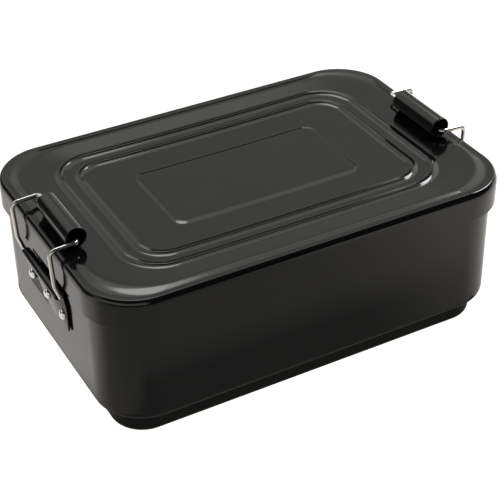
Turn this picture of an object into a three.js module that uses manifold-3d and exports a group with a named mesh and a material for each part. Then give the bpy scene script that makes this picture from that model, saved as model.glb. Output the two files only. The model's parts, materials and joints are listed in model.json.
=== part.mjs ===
// Metal lunch box: a pressed lid held on a drawn tray by two wire bails.
// Millimetres, +Z up, origin at the centre of the underside of the foot.
// X runs along the box, so the bails are at the -X and +X ends.

import * as THREE from "three";
import { mergeVertices } from "three/addons/utils/BufferGeometryUtils.js";
import Module from "manifold-3d";

const wasm = await Module();
wasm.setup();

// ---- Driving dimensions ----

const LID_LENGTH = 181.2;
const LID_WIDTH = 123.2;
const RIM_HEIGHT = 67.6;
const LID_CORNER_RADIUS = 22.6;
const SHEET = 0.6;

const SKIRT_DEPTH = 12.6;
const LID_EDGE_ACROSS = 1.6;
const LID_EDGE_DROP = 3.6;
const LID_SAG = 2.2;
const FIELD_DROP = 0.1;
const RIDGE_HALF_WIDTH = 3;
const RIDGE_RISE = 0.7;
const PANEL_RISE = 0.35;

const WALL_INSET = 2.2;
const WALL_EDGE_RADIUS = 4.5;
const LEDGE_HEIGHT = 9.2;
const FOOT_INSET = 7.6;
const FOOT_CORNER_RADIUS = 14;
const FOOT_EDGE_RADIUS = 2.6;
const TRAY_RIM_DROP = 1.1;

const WIRE_RADIUS = 0.9;
const HINGE_HEIGHT = 48.3;
const BAIL_HALF_WIDTH = 19.3;
const BAIL_STUB_LENGTH = 12.5;
const BAIL_SHOULDER_OUT = 93.7;
const BAIL_SHOULDER_HEIGHT = 70.3;
const BAIL_KNEE_OUT = 92.9;
const BAIL_KNEE_HEIGHT = 55;

const ROLLER_RADIUS = 4.4;
const ROLLER_WALL = 1;
const ROLLER_LENGTH = 28.6;
const ROLLER_END_SHIFT = 3.7;
const ROLLER_INSET = 8.6;
const ROLLER_CENTRE_HEIGHT = 4.8;
const WIRE_BELOW_ROLLER_AXIS = 1.2;

const BRACKET_SHEET = 0.8;
const BRACKET_GAP = 0.3;
const CURL_BORE_RADIUS = 1.25;
const CURL_HALF_WIDTH = 17.2;
const CURL_SWEEP = (5 / 3) * Math.PI;
const PLATE_HALF_WIDTH = 19.6;
const PLATE_BOTTOM = 32.5;
const PLATE_SHOULDER = 43.5;

const RIVET_SPACING = 15.8;
const RIVET_HEIGHT = 38.4;
const RIVET_HEAD_RADIUS = 2.3;
const RIVET_HEAD_RISE = 1.4;
const RIVET_SHANK_RADIUS = 1.2;
const RIVET_HOLE_RADIUS = 1.5;
const RIVET_TAIL_RADIUS = 2.1;
const RIVET_TAIL_THICKNESS = 0.8;
const RIVET_GAP = 0.2;

const CORNER_STEPS = 8;
const SIDE_STEPS = 4;
const EDGE_STEPS = 3;

// ---- Places worked out from the dimensions ----

const WALL_FACE = LID_LENGTH / 2 - WALL_INSET;
const PLATE_INNER_FACE = WALL_FACE + BRACKET_GAP;
const PLATE_OUTER_FACE = PLATE_INNER_FACE + BRACKET_SHEET;
const CURL_RADIUS = CURL_BORE_RADIUS + BRACKET_SHEET;
const HINGE_OUT = PLATE_INNER_FACE + CURL_RADIUS;
const ROLLER_OUT = LID_LENGTH / 2 - ROLLER_INSET;
const ROLLER_HEIGHT = RIM_HEIGHT + ROLLER_CENTRE_HEIGHT;

// ---- Materials ----

function finish(color, roughness, metalness) {
  return new THREE.MeshStandardMaterial({ color, roughness, metalness });
}

const blackPaint = () => finish(0x1b1b1c, 0.25, 0.1);
const brightSteel = () => finish(0xc9cacb, 0.2, 1);
const softAluminium = () => finish(0xd2d3d5, 0.35, 1);

// ---- Pressed shells: stacks of rounded rectangles ----

/** One rounded rectangle of a shell, set in from the lid's outline by alongX and alongY. */
function ring(alongX, alongY, radius, z) {
  return { halfX: LID_LENGTH / 2 - alongX, halfY: LID_WIDTH / 2 - alongY, radius, z };
}

/** A ring set in by the same distance all round, so that its corners stay concentric. */
function evenRing(inset, z) {
  return ring(inset, inset, LID_CORNER_RADIUS - inset, z);
}

/** A ring of the foot, whose corners have a radius of their own. */
function footRing(inset, z) {
  return ring(inset, inset, FOOT_CORNER_RADIUS + FOOT_INSET - inset, z);
}

/** Points round a ring, corner by corner, with a few more along the straight side after each corner. */
function ringPoints({ halfX, halfY, radius, z }) {
  const points = [];
  const corners = [[1, 1], [-1, 1], [-1, -1], [1, -1]];
  corners.forEach(([signX, signY], quarter) => {
    for (let step = 0; step <= CORNER_STEPS; step++) {
      const angle = (quarter + step / CORNER_STEPS) * (Math.PI / 2);
      const x = signX * (halfX - radius) + radius * Math.cos(angle);
      const y = signY * (halfY - radius) + radius * Math.sin(angle);
      points.push(new THREE.Vector3(x, y, z));
    }
    const alongX = [-2 * signX * (halfX - radius), 0];
    const alongY = [0, -2 * signY * (halfY - radius)];
    const straight = quarter % 2 === 0 ? alongX : alongY;
    const cornerEnd = points[points.length - 1];
    for (let step = 1; step < SIDE_STEPS; step++) {
      const share = step / SIDE_STEPS;
      points.push(new THREE.Vector3(cornerEnd.x + straight[0] * share, cornerEnd.y + straight[1] * share, z));
    }
  });
  return points;
}

/** A closed solid through the rings, which run from the outer centre, round the edge, to the inner centre. */
function loft(rings) {
  const count = 4 * (CORNER_STEPS + SIDE_STEPS);
  const points = rings.flatMap(ringPoints);
  const outerCentre = points.length;
  points.push(new THREE.Vector3(0, 0, rings[0].z));
  points.push(new THREE.Vector3(0, 0, rings[rings.length - 1].z));
  const index = [];
  for (let i = 0; i < count; i++) {
    const next = (i + 1) % count;
    const last = (rings.length - 1) * count;
    index.push(outerCentre, i, next);
    index.push(outerCentre + 1, last + next, last + i);
    for (let level = 0; level + 1 < rings.length; level++) {
      const a = level * count;
      const b = a + count;
      index.push(a + i, b + i, b + next);
      index.push(a + i, b + next, a + next);
    }
  }
  const geometry = new THREE.BufferGeometry();
  geometry.setFromPoints(points);
  geometry.setIndex(index);
  return geometry;
}

/** Rings of a quarter ellipse that starts upright at inset and z and turns inwards, up or down. */
function edgeRound(ringAt, inset, z, across, upwards) {
  const rings = [];
  for (let step = 1; step <= EDGE_STEPS; step++) {
    const angle = (step / EDGE_STEPS) * (Math.PI / 2);
    rings.push(ringAt(inset + across * (1 - Math.cos(angle)), z + upwards * Math.sin(angle)));
  }
  return rings;
}

/** The lid's pressed relief, rim inwards: a low bead, a field with two ridges, a raised panel. */
function lidRelief(drop) {
  const top = RIM_HEIGHT - drop;
  const field = top - FIELD_DROP;
  return [
    ring(3.2, 3.2, 19.4, top + 0.01),
    ring(5, 4.8, 22.7, top + 0.23),
    ring(6.8, 6.4, 26, top + 0.45),
    ring(8, 7.4, 27, top + 0.45),
    ...ridge(21.9, 17.6, 16.5, field),
    ...ridge(29.2, 24.9, 11.5, field),
    ring(48, 39.6, 5.9, field),
    ring(50.8, 42.4, 3.1, field + PANEL_RISE),
  ];
}

/** Rings over a pressed ridge whose crest has the given insets and corner radius. */
function ridge(insetX, insetY, cornerRadius, base) {
  return [-1, -0.5, 0, 0.5, 1].map((share) => {
    const aside = share * RIDGE_HALF_WIDTH;
    const rise = RIDGE_RISE * (1 - Math.abs(share)) ** 2;
    return ring(insetX + aside, insetY + aside, cornerRadius - aside, base + rise);
  });
}

/** Lowers a lid like a shallow dish: nothing at its outline, LID_SAG at its centre. */
function dished(geometry) {
  const position = geometry.getAttribute("position");
  for (let i = 0; i < position.count; i++) {
    const along = position.getX(i) / (LID_LENGTH / 2);
    const across = position.getY(i) / (LID_WIDTH / 2);
    const sag = LID_SAG * (1 - along ** 2) * (1 - across ** 2);
    const inside = position.getZ(i) > RIM_HEIGHT - 2 * SHEET;
    position.setZ(i, position.getZ(i) - (inside ? sag : 0));
  }
  return geometry;
}

function lidGeometry() {
  const skirtTop = RIM_HEIGHT - LID_EDGE_DROP;
  const skirtBottom = RIM_HEIGHT - SKIRT_DEPTH;
  const outer = [
    evenRing(0, skirtBottom),
    evenRing(0, skirtTop),
    ...edgeRound(evenRing, 0, skirtTop, LID_EDGE_ACROSS, LID_EDGE_DROP),
    ...lidRelief(0),
  ];
  const inner = [
    evenRing(SHEET, skirtBottom),
    evenRing(SHEET, skirtTop),
    ...edgeRound(evenRing, SHEET, skirtTop, LID_EDGE_ACROSS - SHEET, LID_EDGE_DROP - SHEET),
    ...lidRelief(SHEET),
  ];
  return dished(loft([...outer.reverse(), ...inner]));
}

/** The tray's side, ledge and foot from the rim downwards, at a depth inside the outer skin. */
function traySide(depth) {
  const wallInset = WALL_INSET + depth;
  const footInset = FOOT_INSET + depth;
  const wallBottom = LEDGE_HEIGHT + WALL_EDGE_RADIUS;
  return [
    evenRing(wallInset, RIM_HEIGHT - TRAY_RIM_DROP),
    evenRing(wallInset, wallBottom),
    ...edgeRound(evenRing, wallInset, wallBottom, WALL_EDGE_RADIUS - depth, depth - WALL_EDGE_RADIUS),
    footRing(footInset, LEDGE_HEIGHT + depth),
    footRing(footInset, FOOT_EDGE_RADIUS),
    ...edgeRound(footRing, footInset, FOOT_EDGE_RADIUS, FOOT_EDGE_RADIUS - depth, depth - FOOT_EDGE_RADIUS),
  ];
}

function trayGeometry() {
  const shell = loft([...traySide(SHEET).reverse(), ...traySide(0)]);
  const drilled = withoutRivetHoles(withoutRivetHoles(toSolid(shell), 1), -1);
  return fromSolid(drilled);
}

// ---- Joining and cutting ----

function toSolid(geometry) {
  const bare = geometry.clone();
  bare.deleteAttribute("normal");
  bare.deleteAttribute("uv");
  const merged = mergeVertices(bare, 1e-4);
  const mesh = new wasm.Mesh({
    numProp: 3,
    vertProperties: new Float32Array(merged.attributes.position.array),
    triVerts: new Uint32Array(merged.index.array),
  });
  return new wasm.Manifold(mesh);
}

function fromSolid(solid) {
  const mesh = solid.getMesh();
  const geometry = new THREE.BufferGeometry();
  geometry.setAttribute("position", new THREE.BufferAttribute(new Float32Array(mesh.vertProperties), 3));
  geometry.setIndex(new THREE.BufferAttribute(new Uint32Array(mesh.triVerts), 1));
  return geometry;
}

/** Drills the row of rivet holes through the wall and bracket at the +X end (side 1) or -X end (side -1). */
function withoutRivetHoles(solid, side) {
  let drilled = solid;
  for (const across of [-RIVET_SPACING, 0, RIVET_SPACING]) {
    const drill = new THREE.CylinderGeometry(RIVET_HOLE_RADIUS, RIVET_HOLE_RADIUS, 4 * WALL_INSET, 16);
    drill.rotateZ(Math.PI / 2);
    drill.translate(side * WALL_FACE, across, RIVET_HEIGHT);
    drilled = drilled.subtract(toSolid(drill));
  }
  return drilled;
}

// ---- Bracket, rivets, bail and roller, drawn for the +X end ----

/** Stands a profile drawn in X and Z upright and centres its thickness on Y. */
function extrudeAcross(shape, halfWidth) {
  const geometry = new THREE.ExtrudeGeometry(shape, {
    depth: 2 * halfWidth,
    bevelEnabled: false,
    curveSegments: CORNER_STEPS,
  });
  geometry.rotateX(Math.PI / 2);
  geometry.translate(0, halfWidth, 0);
  return geometry;
}

/** The rolled upper edge of the bracket, open on the side next to the plate. */
function curlShape() {
  const end = Math.PI - CURL_SWEEP;
  const shape = new THREE.Shape();
  shape.moveTo(PLATE_INNER_FACE, PLATE_SHOULDER);
  shape.lineTo(PLATE_OUTER_FACE, PLATE_SHOULDER);
  shape.lineTo(PLATE_OUTER_FACE, HINGE_HEIGHT);
  shape.absarc(HINGE_OUT, HINGE_HEIGHT, CURL_BORE_RADIUS, Math.PI, end, true);
  shape.absarc(HINGE_OUT, HINGE_HEIGHT, CURL_RADIUS, end, Math.PI, false);
  shape.closePath();
  return shape;
}

/** The flat of the bracket in Y and Z: full width below, sloping in to the curl above. */
function plateShape() {
  const top = HINGE_HEIGHT - BRACKET_SHEET;
  const shape = new THREE.Shape();
  shape.moveTo(-PLATE_HALF_WIDTH, PLATE_BOTTOM);
  shape.lineTo(PLATE_HALF_WIDTH, PLATE_BOTTOM);
  shape.lineTo(PLATE_HALF_WIDTH, PLATE_SHOULDER);
  shape.lineTo(CURL_HALF_WIDTH, top);
  shape.lineTo(-CURL_HALF_WIDTH, top);
  shape.lineTo(-PLATE_HALF_WIDTH, PLATE_SHOULDER);
  shape.closePath();
  return shape;
}

function bracketGeometry() {
  const plate = new THREE.ExtrudeGeometry(plateShape(), { depth: BRACKET_SHEET, bevelEnabled: false });
  plate.rotateX(Math.PI / 2);
  plate.rotateZ(Math.PI / 2);
  plate.translate(PLATE_INNER_FACE, 0, 0);
  const curl = extrudeAcross(curlShape(), CURL_HALF_WIDTH);
  const joined = toSolid(plate).add(toSolid(curl));
  return fromSolid(withoutRivetHoles(joined, 1));
}

/** A domed rivet along X: head outside the bracket, shank through both sheets, flattened tail inside. */
function rivetGeometry() {
  const headBase = PLATE_OUTER_FACE + RIVET_GAP;
  const tailFace = WALL_FACE - SHEET - RIVET_GAP;
  const profile = [
    new THREE.Vector2(0, tailFace - RIVET_TAIL_THICKNESS),
    new THREE.Vector2(RIVET_TAIL_RADIUS, tailFace - RIVET_TAIL_THICKNESS),
    new THREE.Vector2(RIVET_TAIL_RADIUS, tailFace),
    new THREE.Vector2(RIVET_SHANK_RADIUS, tailFace),
    new THREE.Vector2(RIVET_SHANK_RADIUS, headBase),
  ];
  const domeSteps = 5;
  for (let step = 0; step <= domeSteps; step++) {
    const angle = (step / domeSteps) * (Math.PI / 2);
    const across = step === domeSteps ? 0 : RIVET_HEAD_RADIUS * Math.cos(angle);
    profile.push(new THREE.Vector2(across, headBase + RIVET_HEAD_RISE * Math.sin(angle)));
  }
  const geometry = new THREE.LatheGeometry(profile, 16);
  geometry.rotateZ(-Math.PI / 2);
  return geometry;
}

/** Straight runs between the points, with each inner corner rounded off over its own reach. */
function roundedPath(points, reaches) {
  const path = new THREE.CurvePath();
  let from = points[0];
  for (let i = 1; i + 1 < points.length; i++) {
    const corner = points[i];
    const back = points[i - 1].clone().sub(corner).setLength(reaches[i - 1]);
    const ahead = points[i + 1].clone().sub(corner).setLength(reaches[i - 1]);
    const enter = corner.clone().add(back);
    const leave = corner.clone().add(ahead);
    path.add(new THREE.LineCurve3(from, enter));
    path.add(new THREE.QuadraticBezierCurve3(enter, corner, leave));
    from = leave;
  }
  path.add(new THREE.LineCurve3(from, points[points.length - 1]));
  return path;
}

/** The bail's centre line: stub in the roller, over the rim, down a leg, through the curl and back. */
function bailGeometry() {
  const wireHeight = ROLLER_HEIGHT - WIRE_BELOW_ROLLER_AXIS;
  const half = [
    new THREE.Vector3(ROLLER_OUT, BAIL_HALF_WIDTH - BAIL_STUB_LENGTH, wireHeight),
    new THREE.Vector3(ROLLER_OUT, BAIL_HALF_WIDTH, wireHeight),
    new THREE.Vector3(BAIL_SHOULDER_OUT, BAIL_HALF_WIDTH, BAIL_SHOULDER_HEIGHT),
    new THREE.Vector3(BAIL_KNEE_OUT, BAIL_HALF_WIDTH, BAIL_KNEE_HEIGHT),
    new THREE.Vector3(HINGE_OUT, BAIL_HALF_WIDTH, HINGE_HEIGHT),
  ];
  const mirrored = half.map((point) => new THREE.Vector3(point.x, -point.y, point.z)).reverse();
  const reaches = [1.8, 3, 2, 1.8];
  const path = roundedPath([...half, ...mirrored], [...reaches, ...[...reaches].reverse()]);
  const section = new THREE.Shape();
  section.absarc(0, 0, WIRE_RADIUS, 0, 2 * Math.PI, false);
  return new THREE.ExtrudeGeometry(section, { extrudePath: path, steps: 96, curveSegments: 4 });
}

/** The sheet tube that the bail's ends turn in. It lies across the lid, slid towards the front leg. */
function rollerGeometry() {
  const bore = ROLLER_RADIUS - ROLLER_WALL;
  const end = ROLLER_LENGTH / 2;
  const profile = [
    new THREE.Vector2(bore, -end),
    new THREE.Vector2(ROLLER_RADIUS, -end),
    new THREE.Vector2(ROLLER_RADIUS, end),
    new THREE.Vector2(bore, end),
    new THREE.Vector2(bore, -end),
  ];
  return new THREE.LatheGeometry(profile, 28);
}

// ---- Assembly ----

function piece(name, geometry, material) {
  const mesh = new THREE.Mesh(geometry, material);
  mesh.name = name;
  return mesh;
}

/** Everything fastened to one end of the tray. The left end is the right end turned half round. */
function latch(end) {
  const group = new THREE.Group();
  const turned = end === "left";
  group.rotation.z = turned ? Math.PI : 0;
  group.add(piece(`${end}_bracket`, bracketGeometry(), blackPaint()));
  group.add(piece(`${end}_bail`, bailGeometry(), brightSteel()));

  const roller = piece(`${end}_roller`, rollerGeometry(), blackPaint());
  roller.position.set(ROLLER_OUT, turned ? ROLLER_END_SHIFT : -ROLLER_END_SHIFT, ROLLER_HEIGHT);
  group.add(roller);

  const places = { front: -RIVET_SPACING, middle: 0, rear: RIVET_SPACING };
  for (const [place, along] of Object.entries(places)) {
    const rivet = piece(`${end}_${place}_rivet`, rivetGeometry(), softAluminium());
    rivet.position.set(0, turned ? -along : along, RIVET_HEIGHT);
    group.add(rivet);
  }
  return group;
}

const lunchBox = new THREE.Group();
lunchBox.add(piece("tray", trayGeometry(), blackPaint()));
lunchBox.add(piece("lid", lidGeometry(), blackPaint()));
lunchBox.add(latch("left"));
lunchBox.add(latch("right"));

export default lunchBox;
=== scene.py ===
"""Looks of a gloss-black metal lunch box with a pressed lid and two wire bails.

Lengths named here are in millimetres; meshes are built in metres (MM turns one into the other).
The box stands on z = 0 with its long side along X. The camera looks from the front left, and above.
"""

import json
import math

import bpy
from mathutils import Matrix, Vector

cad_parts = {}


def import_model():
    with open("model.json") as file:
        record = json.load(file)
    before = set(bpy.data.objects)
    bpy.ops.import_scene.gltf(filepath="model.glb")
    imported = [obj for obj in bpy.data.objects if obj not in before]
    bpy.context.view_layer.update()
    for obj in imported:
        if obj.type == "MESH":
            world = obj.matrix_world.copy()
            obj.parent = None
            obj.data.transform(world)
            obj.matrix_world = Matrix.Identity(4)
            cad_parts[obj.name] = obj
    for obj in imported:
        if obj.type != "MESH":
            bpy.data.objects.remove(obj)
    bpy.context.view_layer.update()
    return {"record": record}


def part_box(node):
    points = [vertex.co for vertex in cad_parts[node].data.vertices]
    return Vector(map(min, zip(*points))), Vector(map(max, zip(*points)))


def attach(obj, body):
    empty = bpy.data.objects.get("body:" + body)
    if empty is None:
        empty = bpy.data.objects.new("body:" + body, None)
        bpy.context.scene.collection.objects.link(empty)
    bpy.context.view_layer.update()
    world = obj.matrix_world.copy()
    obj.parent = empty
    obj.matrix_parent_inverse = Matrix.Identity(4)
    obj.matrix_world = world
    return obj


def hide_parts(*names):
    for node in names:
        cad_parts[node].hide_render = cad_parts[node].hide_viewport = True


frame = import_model()
BODY_OF = {
    node: body for body, nodes in frame["record"]["behaviour"]["bodies"].items() for node in nodes
}

MM = 0.001


def span(node, axis):
    """Lowest and highest coordinate of a CAD node along one axis, in millimetres."""
    low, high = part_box(node)
    return low[axis] / MM, high[axis] / MM


# ---- Driving sizes, taken from the frame ----

LID_HALF_LENGTH = span("lid", 0)[1]
LID_HALF_WIDTH = span("lid", 1)[1]
SKIRT_BOTTOM = span("lid", 2)[0]
TRAY_HALF_LENGTH = span("tray", 0)[1]
TRAY_RIM = span("tray", 2)[1]
WALL_INSET = LID_HALF_LENGTH - TRAY_HALF_LENGTH
HINGE_LOW = span("right_bail", 2)[0]
BAIL_OUT = span("right_bail", 0)[1]
ROLLER_LOW, ROLLER_HIGH = span("right_roller", 2)
BRACKET_IN = span("right_bracket", 0)[0]
BRACKET_LOW = span("right_bracket", 2)[0]

# ---- Sizes that the frame does not give ----

RIM = 67.6
SHEET = 0.6
LID_CORNER = 22.6
LID_EDGE_ACROSS = 1.6
LID_EDGE_DROP = 3.6
LID_SAG = 2.2
CORNER_STEPS = 22
SIDE_STEPS = 12
EDGE_STEPS = 10


# ---- Small mesh tools ----


def make_object(name, points, faces, material):
    """A smooth-shaded mesh object from points in millimetres."""
    mesh = bpy.data.meshes.new(name)
    mesh.from_pydata([Vector(p) * MM for p in points], [], faces)
    mesh.validate()
    mesh.shade_smooth()
    mesh.materials.append(material)
    made = bpy.data.objects.new(name, mesh)
    bpy.context.scene.collection.objects.link(made)
    even_out = made.modifiers.new("flat_faces_lead", "WEIGHTED_NORMAL")
    even_out.mode = "FACE_AREA"
    even_out.weight = 80
    return made


def bridge(start_a, start_b, count, closed=True):
    """Quads between two rows of points that start at the given indices."""
    last = count if closed else count - 1
    return [
        (start_a + i, start_b + i, start_b + (i + 1) % count, start_a + (i + 1) % count)
        for i in range(last)
    ]


def rounded_outline(half_x, half_y, radius, z):
    """Points anticlockwise round a rounded rectangle, with extra ones along its straight sides."""
    corners = []
    for quarter, (sign_x, sign_y) in enumerate(((1, 1), (-1, 1), (-1, -1), (1, -1))):
        arc = []
        for step in range(CORNER_STEPS + 1):
            angle = (quarter + step / CORNER_STEPS) * math.pi / 2
            x = sign_x * (half_x - radius) + radius * math.cos(angle)
            y = sign_y * (half_y - radius) + radius * math.sin(angle)
            arc.append(Vector((x, y, z)))
        corners.append(arc)
    points = []
    for quarter, arc in enumerate(corners):
        points += arc
        end, start = arc[-1], corners[(quarter + 1) % 4][0]
        points += [end.lerp(start, step / SIDE_STEPS) for step in range(1, SIDE_STEPS)]
    return points


def shell(name, stations, material, shape=lambda point: point):
    """A closed skin through (inset_x, inset_y, radius, z) stations, from one centre to the other."""
    rings = [
        rounded_outline(LID_HALF_LENGTH - inset_x, LID_HALF_WIDTH - inset_y, radius, z)
        for inset_x, inset_y, radius, z in stations
    ]
    count = len(rings[0])
    points = [point for ring in rings for point in ring]
    faces = []
    for level in range(len(rings) - 1):
        faces += bridge(level * count, (level + 1) * count, count)
    outer_centre, inner_centre = len(points), len(points) + 1
    points += [Vector((0, 0, stations[0][3])), Vector((0, 0, stations[-1][3]))]
    points = [shape(point) for point in points]
    last = (len(rings) - 1) * count
    for i in range(count):
        following = (i + 1) % count
        faces.append((outer_centre, i, following))
        faces.append((inner_centre, last + following, last + i))
    return make_object(name, points, faces, material)


def even(inset, z, corner=LID_CORNER):
    """A station set in by the same distance all round."""
    return (inset, inset, corner - inset, z)


def run(a, b, count):
    """Stations after a up to b, straight in plan and eased in height, so the slope is S-shaped."""
    stations = []
    for step in range(1, count + 1):
        t = step / count
        height = t * t * (3 - 2 * t)
        plan = [a[k] + (b[k] - a[k]) * t for k in range(3)]
        stations.append((*plan, a[3] + (b[3] - a[3]) * height))
    return stations


def quarter_round(inset, z, radius, corner=LID_CORNER):
    """Stations of a quarter round that turns a wall inwards, starting at height z and going down."""
    stations = []
    for step in range(EDGE_STEPS + 1):
        angle = step / EDGE_STEPS * math.pi / 2
        aside = radius * (1 - math.cos(angle))
        stations.append(even(inset + aside, z - radius * math.sin(angle), corner))
    return stations


# ---- Lid ----

RIM_INNER = (3.2, 3.2, 19.4, RIM + 0.01)
BEAD_OUTER = (6.8, 6.4, 26.0, RIM + 0.55)
BEAD_INNER = (8.0, 7.4, 27.0, RIM + 0.55)
FIELD = RIM + 0.1
OUTER_RIDGE = (21.9, 17.6, 16.5)
INNER_RIDGE = (29.2, 24.9, 11.5)
RIDGE_HALF_WIDTH = 3.0
RIDGE_RISE = 0.7
RIDGE_STEPS = 12
PANEL_FOOT = (48.0, 39.6, 5.9, FIELD)
PANEL_EDGE = (50.8, 42.4, 3.1, FIELD + 0.35)
PANEL_FLAT = 1.0
HEM = 0.3


def ridge(crest):
    """Stations over a pressed ridge in the lid's field, hollow at its feet and narrow at its crest."""
    inset_x, inset_y, radius = crest
    stations = []
    for step in range(-RIDGE_STEPS, RIDGE_STEPS + 1):
        share = step / RIDGE_STEPS
        aside = share * RIDGE_HALF_WIDTH
        z = FIELD + RIDGE_RISE * (1 - abs(share)) ** 2
        stations.append((inset_x + aside, inset_y + aside, radius - aside, z))
    return stations


def lid_relief():
    """Stations of the lid's top from the rim inwards to the centre panel."""
    stations = [RIM_INNER]
    stations += run(RIM_INNER, BEAD_OUTER, 12)
    stations += run(BEAD_OUTER, BEAD_INNER, 3)
    outer, inner = ridge(OUTER_RIDGE), ridge(INNER_RIDGE)
    stations += outer + inner
    stations += run(inner[-1], PANEL_FOOT, 4)
    stations += run(PANEL_FOOT, PANEL_EDGE, 10)
    inset_x, inset_y, radius, z = PANEL_EDGE
    stations.append((inset_x + PANEL_FLAT, inset_y + PANEL_FLAT, radius - PANEL_FLAT, z))
    return stations


def lid_edge(depth):
    """Stations of the rim's quarter ellipse, top to skirt, at a depth inside the outer skin."""
    across, drop = LID_EDGE_ACROSS - depth, LID_EDGE_DROP - depth
    stations = []
    for step in range(EDGE_STEPS + 1):
        angle = step / EDGE_STEPS * math.pi / 2
        z = RIM - LID_EDGE_DROP + drop * math.cos(angle)
        stations.append(even(depth + across * (1 - math.sin(angle)), z))
    return stations


def lid_stations():
    """From the top's centre out over the rim, down the skirt, round its hem and back up inside."""
    relief = lid_relief()
    hem_top = SKIRT_BOTTOM + HEM
    outer = list(reversed(relief)) + lid_edge(0)
    outer += [even(0, hem_top), even(HEM / 3, SKIRT_BOTTOM + HEM / 3), even(HEM, SKIRT_BOTTOM)]
    inner = [even(SHEET, hem_top)] + list(reversed(lid_edge(SHEET)))
    inner += [(x, y, r, z - SHEET) for x, y, r, z in relief]
    return outer + inner


def sagging(point):
    """Lowers a point of the lid's top like a shallow dish: LID_SAG at the centre, none at the rim."""
    if point.z < RIM - 2 * SHEET:
        return point
    along = point.x / LID_HALF_LENGTH
    across = point.y / LID_HALF_WIDTH
    return point - Vector((0, 0, LID_SAG * (1 - along**2) * (1 - across**2)))


# ---- Tray ----

WALL_ROUND = 4.5
LEDGE = 9.2
FOOT_INSET = 7.6
FOOT_CORNER = 21.6
FOOT_ROUND = 2.6
FOOT_CREASE = 0.4
UNDERSIDE_FLAT = 2.0
RIM_CHAMFER = 0.2


def tray_side(depth):
    """Stations of the tray from its rim down to the floor, at a depth inside the outer skin."""
    wall = WALL_INSET + depth
    foot = FOOT_INSET + depth
    stations = [even(wall, TRAY_RIM - RIM_CHAMFER)]
    stations += quarter_round(wall, LEDGE + WALL_ROUND, WALL_ROUND - depth)
    stations.append(even(foot - FOOT_CREASE, LEDGE + depth, FOOT_CORNER))
    stations.append(even(foot, LEDGE + depth - FOOT_CREASE, FOOT_CORNER))
    stations += quarter_round(foot, FOOT_ROUND, FOOT_ROUND - depth, FOOT_CORNER)
    inset_x, inset_y, radius, z = stations[-1]
    flat = UNDERSIDE_FLAT
    stations.append((inset_x + flat, inset_y + flat, radius - flat, z))
    return stations


def tray_stations():
    """From the inside centre up to the rim and down the outside to the underside's centre."""
    inside = list(reversed(tray_side(SHEET)))
    lip = [even(WALL_INSET + SHEET * 0.7, TRAY_RIM), even(WALL_INSET + SHEET * 0.3, TRAY_RIM)]
    return inside + lip + tray_side(0)


# ---- Bracket ----

BRACKET_SHEET = 0.8
CURL_BORE = 1.25
PLATE_HALF_WIDTH = span("right_bracket", 1)[1]
CURL_HALF_WIDTH = 17.2
PLATE_SHOULDER = 43.5
WIRE = 0.9
HINGE_Z = HINGE_LOW + WIRE
HINGE_OUT = BRACKET_IN + BRACKET_SHEET + CURL_BORE
PLATE_TOP = HINGE_Z - 1.0
CURL_FOOT = HINGE_Z - 0.5
BRACKET_EDGE = 0.15
CURL_SWEEP = math.radians(300)
CURL_STEPS = 28


def bracket_path(middle):
    """The sheet's middle, up the plate and round the curl: (out, z, half width, normal's out and z)."""
    plate_out = HINGE_OUT - middle
    path = [
        (plate_out, BRACKET_LOW, PLATE_HALF_WIDTH, 1.0, 0.0),
        (plate_out, PLATE_SHOULDER, PLATE_HALF_WIDTH, 1.0, 0.0),
        (plate_out, PLATE_TOP, CURL_HALF_WIDTH, 1.0, 0.0),
        (plate_out, CURL_FOOT, CURL_HALF_WIDTH, 1.0, 0.0),
    ]
    for step in range(CURL_STEPS + 1):
        angle = math.pi - CURL_SWEEP * step / CURL_STEPS
        out = HINGE_OUT + middle * math.cos(angle)
        z = HINGE_Z + middle * math.sin(angle)
        path.append((out, z, CURL_HALF_WIDTH, -math.cos(angle), -math.sin(angle)))
    return path


def bracket(end, side, material):
    """A sheet swept across Y: up the plate, then round the wire."""
    path = bracket_path(CURL_BORE + BRACKET_SHEET / 2)
    points = []
    for out, z, half, normal_out, normal_z in path:
        for face in (-BRACKET_SHEET / 2, BRACKET_SHEET / 2):
            for across in (-half, half):
                x = side * (out + face * normal_out)
                points.append((x, side * across, z + face * normal_z))
    section = (0, 1, 3, 2)
    faces = []
    for row in range(len(path) - 1):
        near, far = 4 * row, 4 * (row + 1)
        for a, b in zip(section, section[1:] + section[:1]):
            faces.append((near + a, near + b, far + b, far + a))
    faces.append(tuple(reversed(section)))
    last = 4 * (len(path) - 1)
    faces.append(tuple(last + k for k in section))
    made = make_object(f"{end}_bracket_sheet", points, faces, material)
    bevel = made.modifiers.new("edges", "BEVEL")
    bevel.width = BRACKET_EDGE * MM
    bevel.segments = 2
    bevel.limit_method = "ANGLE"
    bevel.angle_limit = math.radians(40)
    bevel.harden_normals = False
    return made


# ---- Wire bail ----

ROLLER_OUT = sum(span("right_roller", 0)) / 2
ROLLER_Z = (ROLLER_LOW + ROLLER_HIGH) / 2
WIRE_BELOW_AXIS = 1.2
BAIL_HALF = span("right_bail", 1)[1] - WIRE
STUB = 12.5
SHOULDER_Z = 70.6
KNEE_OUT, KNEE_Z = 92.9, 55.0
BEND_RADII = (1.8, 2.6, 8.0, 1.8)


def rounded_path(corners, radii):
    """A polyline whose inner corners are true arcs."""
    steps = 8
    path = [corners[0]]
    for i in range(1, len(corners) - 1):
        corner = corners[i]
        back = (corners[i - 1] - corner).normalized()
        ahead = (corners[i + 1] - corner).normalized()
        bend = math.pi - back.angle(ahead)
        reach = radii[i - 1] * math.tan(bend / 2)
        centre = corner + (back + ahead).normalized() * (radii[i - 1] / math.cos(bend / 2))
        start = corner + back * reach - centre
        axis = back.cross(ahead).normalized()
        for step in range(steps + 1):
            turn = Matrix.Rotation(-bend * step / steps, 3, axis)
            path.append(centre + turn @ start)
    path.append(corners[-1])
    return path


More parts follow.
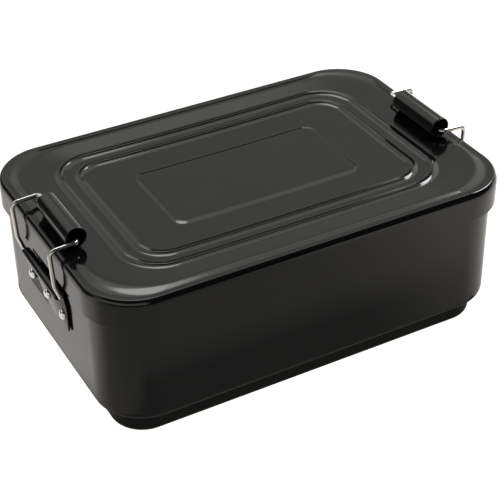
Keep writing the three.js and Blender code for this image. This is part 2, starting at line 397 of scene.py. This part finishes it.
def tube(name, path, radius, material):
    """A round wire along a path, with slightly domed ends."""
    sides = 16
    dome = 0.3 * radius
    dome_radius = 0.72 * radius
    tangents = []
    for i, point in enumerate(path):
        before = path[max(i - 1, 0)]
        after = path[min(i + 1, len(path) - 1)]
        tangents.append((after - before).normalized())
    normal = tangents[0].orthogonal().normalized()
    rings = []

    def add_ring(centre, tangent, size):
        side = tangent.cross(normal)
        ring = []
        for k in range(sides):
            angle = 2 * math.pi * k / sides
            ring.append(centre + (normal * math.cos(angle) + side * math.sin(angle)) * size)
        rings.append(ring)

    for i, point in enumerate(path):
        tangent = tangents[i]
        normal = (normal - tangent * normal.dot(tangent)).normalized()
        if i == 0:
            add_ring(point - tangent * dome, tangent, dome_radius)
        add_ring(point, tangent, radius)
        if i == len(path) - 1:
            add_ring(point + tangent * dome, tangent, dome_radius)
    points = [point for ring in rings for point in ring]
    faces = []
    for level in range(len(rings) - 1):
        faces += bridge(level * sides, (level + 1) * sides, sides)
    faces.append(tuple(range(sides)))
    last = (len(rings) - 1) * sides
    faces.append(tuple(last + k for k in reversed(range(sides))))
    return make_object(name, points, [tuple(reversed(f)) for f in faces], material)


def bail(end, side, material):
    """One wire, from its stub in the roller, through the bracket's curl, to its other stub."""
    stub_z = ROLLER_Z - WIRE_BELOW_AXIS
    half = [
        (ROLLER_OUT, BAIL_HALF - STUB, stub_z),
        (ROLLER_OUT, BAIL_HALF, stub_z),
        (BAIL_OUT - WIRE, BAIL_HALF, SHOULDER_Z),
        (KNEE_OUT, BAIL_HALF, KNEE_Z),
        (HINGE_OUT, BAIL_HALF, HINGE_Z),
    ]
    corners = half + [(x, -y, z) for x, y, z in reversed(half)]
    corners = [Vector((side * x, side * y, z)) for x, y, z in corners]
    path = rounded_path(corners, BEND_RADII + BEND_RADII[::-1])
    return tube(f"{end}_bail_wire", path, WIRE, material)


# ---- Roller ----

ROLLER_WALL = 0.7
ROLLER_EDGE = 0.15
ROLLER_SIDES = 64


def lathe(name, profile, place, sides, material, closed=True):
    """Turns a (radius, along) profile about an axis; place maps (radius, angle, along) to a point.

    A closed profile makes a ring; an open one gets a flat cap at each end.
    """
    points, faces = [], []
    for radius, along in profile:
        for k in range(sides):
            points.append(place(radius, 2 * math.pi * k / sides, along))
    rows = len(profile)
    for row in range(rows if closed else rows - 1):
        faces += bridge(row * sides, (row + 1) % rows * sides, sides)
    if not closed:
        faces.append(tuple(range(sides)))
        last = (rows - 1) * sides
        faces.append(tuple(last + k for k in reversed(range(sides))))
    return make_object(name, points, faces, material)


def roller(end, material):
    """A short tube that turns on the bail's stubs."""
    low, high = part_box(f"{end}_roller")
    centre = (low + high) / 2 / MM
    half = (high.y - low.y) / 2 / MM
    outer = (high.z - low.z) / 2 / MM
    bore = outer - ROLLER_WALL
    soft = ROLLER_EDGE
    profile = [
        (bore, -half + soft),
        (bore + soft, -half),
        (outer - soft, -half),
        (outer, -half + soft),
        (outer, half - soft),
        (outer - soft, half),
        (bore + soft, half),
        (bore, half - soft),
    ]

    def place(radius, angle, along):
        return (
            centre.x + radius * math.sin(angle),
            centre.y + along,
            centre.z + radius * math.cos(angle),
        )

    return lathe(f"{end}_roller_tube", profile, place, ROLLER_SIDES, material)


# ---- Rivets ----

TAIL_RADIUS = 2.1
TAIL_THICKNESS = 0.8
TAIL_EDGE = 0.2
SHANK_RADIUS = 1.2
SHANK_START = 0.1
SHANK_END = 0.05
RIVET_EDGE = 0.15
DOME_STEPS = 8
RIVET_SIDES = 24


def rivet_profile(tail, seat, head, top):
    """(radius, out) points along a rivet, from its tail end through its shank to its domed head."""
    neck = tail + TAIL_THICKNESS
    points = [
        (TAIL_RADIUS - TAIL_EDGE, tail),
        (TAIL_RADIUS, tail + TAIL_EDGE),
        (TAIL_RADIUS, neck),
        (SHANK_RADIUS, neck + SHANK_START),
        (SHANK_RADIUS, seat - SHANK_END),
        (head, seat),
    ]
    for step in range(DOME_STEPS):
        angle = step / DOME_STEPS * math.pi / 2
        out = seat + RIVET_EDGE + (top - seat - RIVET_EDGE) * math.sin(angle)
        points.append((head * math.cos(angle), out))
    return points


def rivet(end, spot, side, material):
    """A rivet through the bracket and the tray's wall, placed and sized by its CAD node."""
    low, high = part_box(f"{end}_{spot}_rivet")
    centre_y = (low.y + high.y) / 2 / MM
    centre_z = (low.z + high.z) / 2 / MM
    head = (high.z - low.z) / 2 / MM
    tail, top = sorted((abs(low.x) / MM, abs(high.x) / MM))

    def place(radius, angle, along):
        return (
            side * along,
            centre_y + side * radius * math.cos(angle),
            centre_z + radius * math.sin(angle),
        )

    profile = rivet_profile(tail, BRACKET_IN + BRACKET_SHEET, head, top)
    return lathe(f"{end}_{spot}_rivet_dome", profile, place, RIVET_SIDES, material, closed=False)


# ---- Materials ----


def add_node(tree, kind, settings=None, **inputs):
    """Adds a node; settings are its properties, inputs are values or sockets for its named inputs."""
    made = tree.nodes.new(kind)
    for key, value in (settings or {}).items():
        setattr(made, key, value)
    for key, value in inputs.items():
        socket = made.inputs[key.replace("_", " ")]
        if isinstance(value, bpy.types.NodeSocket):
            tree.links.new(value, socket)
        else:
            socket.default_value = value
    return made


def new_material(name):
    """A material with an empty node tree, and that tree."""
    material = bpy.data.materials.new(name)
    material.use_nodes = True
    tree = material.node_tree
    tree.nodes.clear()
    return material, tree


def black_paint():
    """Gloss stoving paint: almost no diffuse colour, a mirror-like top, faint ripple and smudges."""
    material, tree = new_material("black_gloss_paint")
    where = add_node(tree, "ShaderNodeTexCoord").outputs["Object"]
    peel = add_node(tree, "ShaderNodeTexNoise", Vector=where, Scale=900.0, Detail=1.0)
    wave = add_node(tree, "ShaderNodeTexNoise", Vector=where, Scale=28.0, Detail=1.0)
    smudge = add_node(tree, "ShaderNodeTexNoise", Vector=where, Scale=45.0, Detail=4.0)
    rough = add_node(
        tree, "ShaderNodeMapRange", Value=smudge.outputs["Fac"],
        From_Min=0.35, From_Max=0.7, To_Min=0.07, To_Max=0.13,
    )
    ripple = add_node(
        tree, "ShaderNodeBump", Strength=0.12, Distance=0.0003, Height=wave.outputs["Fac"],
    )
    fine = add_node(
        tree, "ShaderNodeBump", Strength=0.08, Distance=0.00002, Height=peel.outputs["Fac"],
        Normal=ripple.outputs["Normal"],
    )
    shader = add_node(
        tree, "ShaderNodeBsdfPrincipled", Base_Color=(0.004, 0.004, 0.0042, 1), IOR=1.5,
        Roughness=rough.outputs["Result"], Normal=fine.outputs["Normal"],
    )
    add_node(tree, "ShaderNodeOutputMaterial", Surface=shader.outputs["BSDF"])
    return material


def bright_wire():
    """Drawn stainless wire."""
    material, tree = new_material("bright_wire")
    where = add_node(tree, "ShaderNodeTexCoord").outputs["Object"]
    grain = add_node(tree, "ShaderNodeTexNoise", Vector=where, Scale=700.0, Detail=2.0)
    rough = add_node(
        tree, "ShaderNodeMapRange", Value=grain.outputs["Fac"],
        From_Min=0.3, From_Max=0.7, To_Min=0.16, To_Max=0.28,
    )
    shader = add_node(
        tree, "ShaderNodeBsdfPrincipled", Base_Color=(0.76, 0.75, 0.7, 1), Metallic=1.0,
        Roughness=rough.outputs["Result"],
    )
    add_node(tree, "ShaderNodeOutputMaterial", Surface=shader.outputs["BSDF"])
    return material


def rivet_metal():
    """Soft aluminium with a satin, slightly dented skin."""
    material, tree = new_material("rivet_aluminium")
    where = add_node(tree, "ShaderNodeTexCoord").outputs["Object"]
    dents = add_node(tree, "ShaderNodeTexNoise", Vector=where, Scale=600.0, Detail=2.0)
    bump = add_node(tree, "ShaderNodeBump", Strength=0.25, Distance=0.0001, Height=dents.outputs["Fac"])
    shader = add_node(
        tree, "ShaderNodeBsdfPrincipled", Base_Color=(0.86, 0.86, 0.86, 1), Metallic=1.0,
        Roughness=0.2, Normal=bump.outputs["Normal"],
    )
    add_node(tree, "ShaderNodeOutputMaterial", Surface=shader.outputs["BSDF"])
    return material


# ---- Studio ----

CAMERA_AZIMUTH = math.radians(-28.19)
CAMERA_ELEVATION = math.radians(34.51)
CAMERA_ROLL = math.radians(-1.06)
CAMERA_TARGET = Vector((-2.45, -5.91, 32.4)) * MM
CAMERA_DISTANCE = 573 * MM
CAMERA_LENS = 99.16


def camera():
    """Long lens from the front left, tipped by a degree as a hand-held shot is."""
    level = math.cos(CAMERA_ELEVATION)
    right = Vector((math.cos(CAMERA_AZIMUTH), math.sin(CAMERA_AZIMUTH), 0))
    back = Vector(
        (
            math.sin(CAMERA_AZIMUTH) * level,
            -math.cos(CAMERA_AZIMUTH) * level,
            math.sin(CAMERA_ELEVATION),
        )
    )
    up = back.cross(right)
    tilted_right = right * math.cos(CAMERA_ROLL) + up * math.sin(CAMERA_ROLL)
    tilted_up = back.cross(tilted_right)
    turn = Matrix((tilted_right, tilted_up, back)).transposed().to_4x4()
    lens = bpy.data.cameras.new("camera")
    lens.lens = CAMERA_LENS
    lens.clip_start = 0.01
    made = bpy.data.objects.new("camera", lens)
    made.matrix_world = Matrix.Translation(CAMERA_TARGET + back * CAMERA_DISTANCE) @ turn
    bpy.context.scene.collection.objects.link(made)
    bpy.context.scene.camera = made


def math_node(tree, operation, *values):
    """One arithmetic step on numbers or sockets."""
    made = tree.nodes.new("ShaderNodeMath")
    made.operation = operation
    for socket, value in zip(made.inputs, values):
        if isinstance(value, bpy.types.NodeSocket):
            tree.links.new(value, socket)
        else:
            socket.default_value = value
    return made.outputs[0]


def product(tree, a, b):
    return math_node(tree, "MULTIPLY", a, b)


def ramp(tree, value, low, high):
    """0 below low, 1 above high, and smooth in between."""
    made = add_node(
        tree, "ShaderNodeMapRange", {"interpolation_type": "SMOOTHSTEP"},
        Value=value, From_Min=low, From_Max=high,
    )
    return made.outputs["Result"]


def band(tree, value, low, high, soft):
    """1 between low and high, fading over soft outside them."""
    rise = ramp(tree, value, low - soft, low)
    fall = ramp(tree, value, high, high + soft)
    return math_node(tree, "SUBTRACT", rise, fall)


def blend_to(tree, value, target, mask):
    """Moves value towards target where mask is 1."""
    made = tree.nodes.new("ShaderNodeMix")
    made.data_type = "FLOAT"
    for name, source in (("Factor", mask), ("A", value), ("B", target)):
        socket = next(s for s in made.inputs if s.name == name and s.type == "VALUE")
        if isinstance(source, bpy.types.NodeSocket):
            tree.links.new(source, socket)
        else:
            socket.default_value = source
    return next(s for s in made.outputs if s.type == "VALUE")


CEILING = 3000 * MM
CAMERA_WHITE = 1.2
TABLE_TINT = (1, 0.965, 0.92, 1)
ROOM_TINT = (1, 1, 0.945, 1)
TABLE_SIZE = 40000.0
TABLE_HEIGHT = -0.02
# The table's glow wherever no patch covers it, painted light seen only in reflections.
BACK_TABLE_LEVEL = 0.86


def ceiling_panel(name, x_range, y_range, radiance):
    """A soft box overhead. Ranges are slopes: sideways run over height, seen from the box."""
    width = (x_range[1] - x_range[0]) * CEILING
    depth = (y_range[1] - y_range[0]) * CEILING
    light = bpy.data.lights.new(name, "AREA")
    light.shape = "RECTANGLE"
    light.size, light.size_y = width, depth
    light.energy = radiance * math.pi * width * depth
    made = bpy.data.objects.new(name, light)
    made.location = (sum(x_range) / 2 * CEILING, sum(y_range) / 2 * CEILING, CEILING)
    bpy.context.scene.collection.objects.link(made)


def white_to_camera(tree, level):
    """A strength that is plain white for the camera and the given level in reflections."""
    path = tree.nodes.new("ShaderNodeLightPath")
    return blend_to(tree, level, CAMERA_WHITE, path.outputs["Is Camera Ray"])


def table_painted_light(tree, x, y):
    """The table's brightness in reflections, as painted light and shade. Its x and y are in metres from
    the box's centre.
    """
    frontward = product(tree, y, -1.0)
    azimuth = math_node(tree, "ARCTAN2", x, y)
    flat = add_node(tree, "ShaderNodeCombineXYZ", X=x, Y=y).outputs["Vector"]
    length = add_node(tree, "ShaderNodeVectorMath", {"operation": "LENGTH"}, Vector=flat)
    distance = length.outputs["Value"]
    back_left = band(tree, azimuth, math.radians(-75), math.radians(30), 0.03)
    back_right = band(tree, azimuth, math.radians(31.5), math.radians(80), 0.03)
    patches = (
        # Painted shade on the front half and a painted shadow on its strip beside the box; painted
        # light on its right-hand end.
        (0.39, ramp(tree, frontward, 0.0, 0.05), 1.0),
        (0.2, band(tree, y, -0.085, -0.02, 0.03), ramp(tree, x, -0.10, -0.08)),
        (0.95, ramp(tree, x, 0.03, 0.16), ramp(tree, frontward, -0.05, 0.0)),
        # Far off: painted shade at the back left, painted light at the back right, and painted shade in
        # front.
        (0.07, ramp(tree, distance, 0.25, 0.34), back_left),
        (2.0, ramp(tree, distance, 0.12, 0.2), back_right),
        (0.05, ramp(tree, distance, 0.3, 0.45), ramp(tree, frontward, 0.1, 0.2)),
        # Painted shadow under the box.
        (0.14, band(tree, y, -0.063, 0.063, 0.006), band(tree, x, -0.089, 0.089, 0.006)),
    )
    level = BACK_TABLE_LEVEL
    for patch_level, one_mask, other_mask in patches:
        level = blend_to(tree, level, patch_level, product(tree, one_mask, other_mask))
    return level


def floor():
    """A white table top that glows instead of being lit: plain white to the camera, so that it melts
    into the backdrop, with painted light and shade where the box reflects it.
    """
    material, tree = new_material("white_table")
    place = add_node(tree, "ShaderNodeNewGeometry").outputs["Position"]
    parts = add_node(tree, "ShaderNodeSeparateXYZ", Vector=place)
    level = table_painted_light(tree, parts.outputs["X"], parts.outputs["Y"])
    strength = white_to_camera(tree, level)
    glow = add_node(tree, "ShaderNodeEmission", Color=TABLE_TINT, Strength=strength)
    add_node(tree, "ShaderNodeOutputMaterial", Surface=glow.outputs["Emission"])
    half = TABLE_SIZE / 2
    corners = ((-half, -half), (half, -half), (half, half), (-half, half))
    points = [(x, y, TABLE_HEIGHT) for x, y in corners]
    make_object("table_top", points, [(0, 1, 2, 3)], material)


# What the gloss paint reflects: (azimuth range, elevation range, edge softness, level). Angles are
# in degrees, and azimuth runs from the back (0) to the right (90). Later cards cover earlier ones.
CARDS = (
    ((-20, 62), (40, 62), 5, 1.15),
    ((-60, 10), (28, 56), 4, 0.95),
    ((-75, 28), (-90, 16), 4, 0.06),
    ((29.5, 34), (-90, 17), 1.5, 0.9),
    ((39.5, 43), (4, 24), 1.5, 0.25),
    ((45, 78), (-90, 20), 2, 0.80),
    ((45, 60), (23, 38), 3, 1.30),
)
BASE_LEVEL = 0.53
FRONT_LEVEL = 0.03
LEFT_LEVEL = 1.0
FRONT_LEAN = 0.3
FRONT_FADE = (-0.1, 0.1)
LEFT_FADE = (-0.2, 0.0)
LOW_FADE = (14, 28)


def world():
    """The room as the gloss paint sees it."""
    made = bpy.data.worlds.new("studio")
    made.use_nodes = True
    tree = made.node_tree
    tree.nodes.clear()
    direction = add_node(tree, "ShaderNodeTexCoord").outputs["Generated"]
    parts = add_node(tree, "ShaderNodeSeparateXYZ", Vector=direction)
    x, y, z = (parts.outputs[axis] for axis in "XYZ")
    azimuth = product(tree, math_node(tree, "ARCTAN2", x, y), 180 / math.pi)
    elevation = product(tree, math_node(tree, "ARCSINE", z), 180 / math.pi)
    level = BASE_LEVEL
    for azimuths, elevations, soft, card_level in CARDS:
        across = band(tree, azimuth, *azimuths, soft)
        upward = band(tree, elevation, *elevations, soft)
        level = blend_to(tree, level, card_level, product(tree, across, upward))
    backward = math_node(tree, "SUBTRACT", y, product(tree, z, FRONT_LEAN))
    in_front = math_node(tree, "SUBTRACT", 1.0, ramp(tree, backward, *FRONT_FADE))
    level = blend_to(tree, level, FRONT_LEVEL, in_front)
    leftward = math_node(tree, "SUBTRACT", 1.0, ramp(tree, x, *LEFT_FADE))
    low = math_node(tree, "SUBTRACT", 1.0, ramp(tree, elevation, *LOW_FADE))
    front_left = product(tree, in_front, product(tree, leftward, low))
    level = blend_to(tree, level, LEFT_LEVEL, front_left)
    strength = white_to_camera(tree, level)
    light = add_node(tree, "ShaderNodeBackground", Color=ROOM_TINT, Strength=strength)
    add_node(tree, "ShaderNodeOutputWorld", Surface=light.outputs["Background"])
    bpy.context.scene.world = made


# ---- Assembly ----


def build():
    """Makes every piece and gives it its body, its CAD node and its material slot."""
    paint, wire, aluminium = black_paint(), bright_wire(), rivet_metal()

    def place(made, node):
        """The piece stands for a CAD node, and rides on that node's body."""
        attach(made, BODY_OF[node])
        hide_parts(node)

    place(shell("lid_pressing", lid_stations(), paint, sagging), "lid")
    place(shell("tray_drawing", tray_stations(), paint), "tray")
    for end, side in (("left", -1), ("right", 1)):
        place(bracket(end, side, paint), f"{end}_bracket")
        place(bail(end, side, wire), f"{end}_bail")
        place(roller(end, paint), f"{end}_roller")
        for spot in ("front", "middle", "rear"):
            place(rivet(end, spot, side, aluminium), f"{end}_{spot}_rivet")


build()
camera()
world()
floor()
ceiling_panel("soft_box_left", (0.18, 0.41), (0.5, 0.95), 4.5)
ceiling_panel("soft_box_right", (0.71, 1.6), (-0.15, 0.56), 12)
bpy.context.scene.view_settings.view_transform = "Standard"
